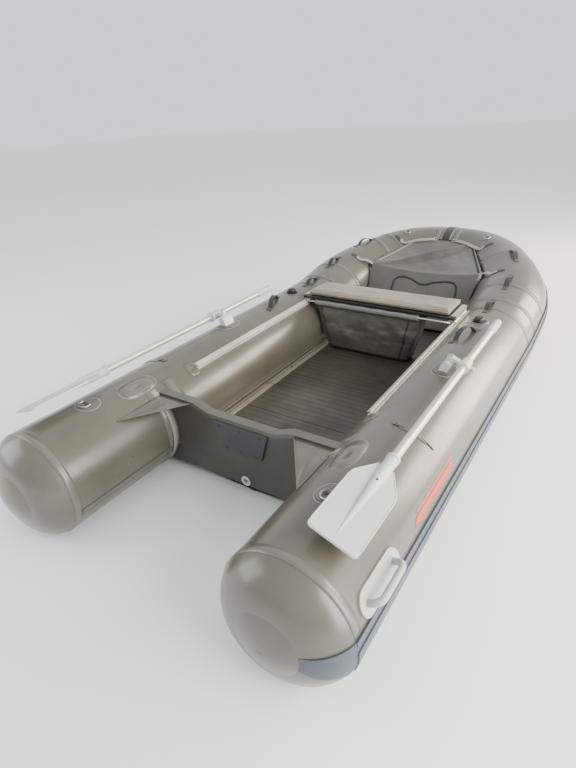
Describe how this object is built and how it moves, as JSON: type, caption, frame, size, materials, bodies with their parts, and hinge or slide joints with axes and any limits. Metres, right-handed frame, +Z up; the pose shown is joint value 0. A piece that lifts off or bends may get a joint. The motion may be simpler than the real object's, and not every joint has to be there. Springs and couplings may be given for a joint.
{
  "type": "inflatable dinghy",
  "caption": "Rigid-floor inflatable dinghy with a plywood transom, sliding bench seat, swinging oars, bow bag, lifting handles and grab loops.",
  "frame": {"origin": "centre of the whole boat on the ground under the side tubes", "axes": "+Y towards the bow, +X to starboard, +Z up"},
  "size_m": [1.5928, 3.34, 0.5861],
  "materials": {
    "hull_fabric": "matte coated fabric",
    "bottom_fabric": "matte coated fabric",
    "black_rubber": "satin moulded rubber",
    "transom_paint": "painted plywood",
    "black_plastic": "fine grain",
    "grey_plastic": "satin",
    "pale_plastic": "satin",
    "steel": "polished stainless",
    "floor_aluminium": "brushed, grooved",
    "shaft_aluminium": "satin anodised",
    "seat_wood": "varnished plywood",
    "seat_vinyl": "padded coated fabric",
    "bag_fabric": "woven polyester",
    "webbing": "ribbed webbing"
  },
  "bodies": {
    "hull": {"bottom_fabric": "bottom_fabric", "bow_bag": "bag_fabric", "bow_bag_straps": "webbing", "bow_board": "seat_wood", "bow_tube": "hull_fabric", "carry_handles": "pale_plastic", "chamber_baffles": "hull_fabric", "drain_housing": "grey_plastic", "drain_nut": "black_plastic", "dring_patches": "hull_fabric", "end_caps": "black_rubber", "floor_joiners": "floor_aluminium", "floor_panels": "floor_aluminium", "grab_loops": "webbing", "keel_strip": "black_rubber", "keel_tube": "bottom_fabric", "motor_pad_inner": "black_plastic", "motor_pad_outer": "black_plastic", "motor_pad_screws": "steel", "oar_clips": "webbing", "port_tube": "hull_fabric", "rail_beds": "hull_fabric", "rowlock_bodies": "black_plastic", "rowlock_pads": "hull_fabric", "rowlock_pins": "steel", "rub_strakes": "black_rubber", "seat_rails": "grey_plastic", "side_stringers": "floor_aluminium", "starboard_tube": "hull_fabric", "stern_cones": "hull_fabric", "transom_board": "transom_paint", "transom_gussets": "hull_fabric", "transom_trim": "black_plastic", "valve_bodies": "black_plastic"},
    "seat": {"seat_brackets": "floor_aluminium", "seat_board": "seat_wood", "seat_cushion": "seat_vinyl", "under_seat_bag": "bag_fabric"},
    "starboard_rowlock_arm": {"starboard_oar_collar": "black_plastic"},
    "starboard_clamp_screw": {"starboard_collar_screw": "black_plastic"},
    "starboard_oar": {"starboard_oar_lower_shaft": "shaft_aluminium", "starboard_oar_upper_shaft": "shaft_aluminium", "starboard_oar_blade": "pale_plastic", "starboard_oar_grip": "black_plastic"},
    "starboard_snap_button": {"starboard_oar_button": "steel"},
    "starboard_stern_ring": {"starboard_stern_dring": "steel"},
    "starboard_bow_ring": {"starboard_bow_dring": "steel"},
    "port_rowlock_arm": {"port_oar_collar": "black_plastic"},
    "port_clamp_screw": {"port_collar_screw": "black_plastic"},
    "port_oar": {"port_oar_lower_shaft": "shaft_aluminium", "port_oar_upper_shaft": "shaft_aluminium", "port_oar_blade": "pale_plastic", "port_oar_grip": "black_plastic"},
    "port_snap_button": {"port_oar_button": "steel"},
    "port_stern_ring": {"port_stern_dring": "steel"},
    "port_bow_ring": {"port_bow_dring": "steel"},
    "starboard_cap": {"starboard_valve_cap": "grey_plastic"},
    "port_cap": {"port_valve_cap": "grey_plastic"},
    "bow_cap": {"bow_valve_cap": "grey_plastic"},
    "plug": {"drain_plug": "grey_plastic"}
  },
  "joints": [
    {"name": "seat_slide", "type": "slide", "parent": "hull", "child": "seat", "axis": [0, 1, 0], "range_m": [-0.9, 0.02]},
    {"name": "starboard_oar_swing", "type": "hinge", "parent": "hull", "child": "starboard_rowlock_arm", "pos_m": [0.59209, -0.372, 0.47962], "axis": [0.3584, 0, 0.9336], "range_deg": [0, 100]},
    {"name": "starboard_oar_feather", "type": "hinge", "parent": "starboard_rowlock_arm", "child": "starboard_oar", "pos_m": [0.64997, -0.372, 0.4574], "axis": [0, -1, 0], "range_deg": [-30, 30]},
    {"name": "starboard_screw_turn", "type": "hinge", "parent": "starboard_rowlock_arm", "child": "starboard_clamp_screw", "pos_m": [0.64997, -0.372, 0.4574], "axis": [0.9336, 0, -0.3584], "continuous": true},
    {"name": "starboard_button_press", "type": "slide", "parent": "starboard_oar", "child": "starboard_snap_button", "axis": [-0.3584, 0, -0.9336], "range_m": [0, 0.003], "stiffness_N_per_m": 400, "springref_m": -0.003},
    {"name": "starboard_stern_ring_lift", "type": "hinge", "parent": "hull", "child": "starboard_stern_ring", "pos_m": [0.53989, -1.277, 0.42607], "axis": [-0.9976, 0, -0.0698], "range_deg": [0, 115]},
    {"name": "starboard_bow_ring_lift", "type": "hinge", "parent": "hull", "child": "starboard_bow_ring", "pos_m": [0.26281, 1.33054, 0.5689], "axis": [-0.5811, -0.7774, -0.2408], "range_deg": [0, 115]},
    {"name": "port_oar_swing", "type": "hinge", "parent": "hull", "child": "port_rowlock_arm", "pos_m": [-0.59209, -0.372, 0.47962], "axis": [0.3584, 0, -0.9336], "range_deg": [0, 100]},
    {"name": "port_oar_feather", "type": "hinge", "parent": "port_rowlock_arm", "child": "port_oar", "pos_m": [-0.64997, -0.372, 0.4574], "axis": [0, 1, 0], "range_deg": [-30, 30]},
    {"name": "port_screw_turn", "type": "hinge", "parent": "port_rowlock_arm", "child": "port_clamp_screw", "pos_m": [-0.64997, -0.372, 0.4574], "axis": [0.9336, 0, 0.3584], "continuous": true},
    {"name": "port_button_press", "type": "slide", "parent": "port_oar", "child": "port_snap_button", "axis": [0.3584, 0, -0.9336], "range_m": [0, 0.003], "stiffness_N_per_m": 400, "springref_m": -0.003},
    {"name": "port_stern_ring_lift", "type": "hinge", "parent": "hull", "child": "port_stern_ring", "pos_m": [-0.53989, -1.277, 0.42607], "axis": [-0.9976, 0, 0.0698], "range_deg": [0, 115]},
    {"name": "port_bow_ring_lift", "type": "hinge", "parent": "hull", "child": "port_bow_ring", "pos_m": [-0.26281, 1.33054, 0.5689], "axis": [-0.5811, 0.7774, 0.2408], "range_deg": [0, 115]},
    {"name": "starboard_cap_turn", "type": "hinge", "parent": "hull", "child": "starboard_cap", "pos_m": [0.54767, 0.207, 0.41987], "axis": [-0.0349, 0, 0.9994], "continuous": true},
    {"name": "port_cap_turn", "type": "hinge", "parent": "hull", "child": "port_cap", "pos_m": [-0.54767, 0.207, 0.41987], "axis": [0.0349, 0, 0.9994], "continuous": true},
    {"name": "bow_cap_turn", "type": "hinge", "parent": "hull", "child": "bow_cap", "pos_m": [0, 1.24964, 0.42704], "axis": [0, -0.9636, 0.2672], "continuous": true},
    {"name": "drain_plug_pull", "type": "slide", "parent": "hull", "child": "plug", "axis": [0, 1, 0], "range_m": [0, 0.03]}
  ]
}
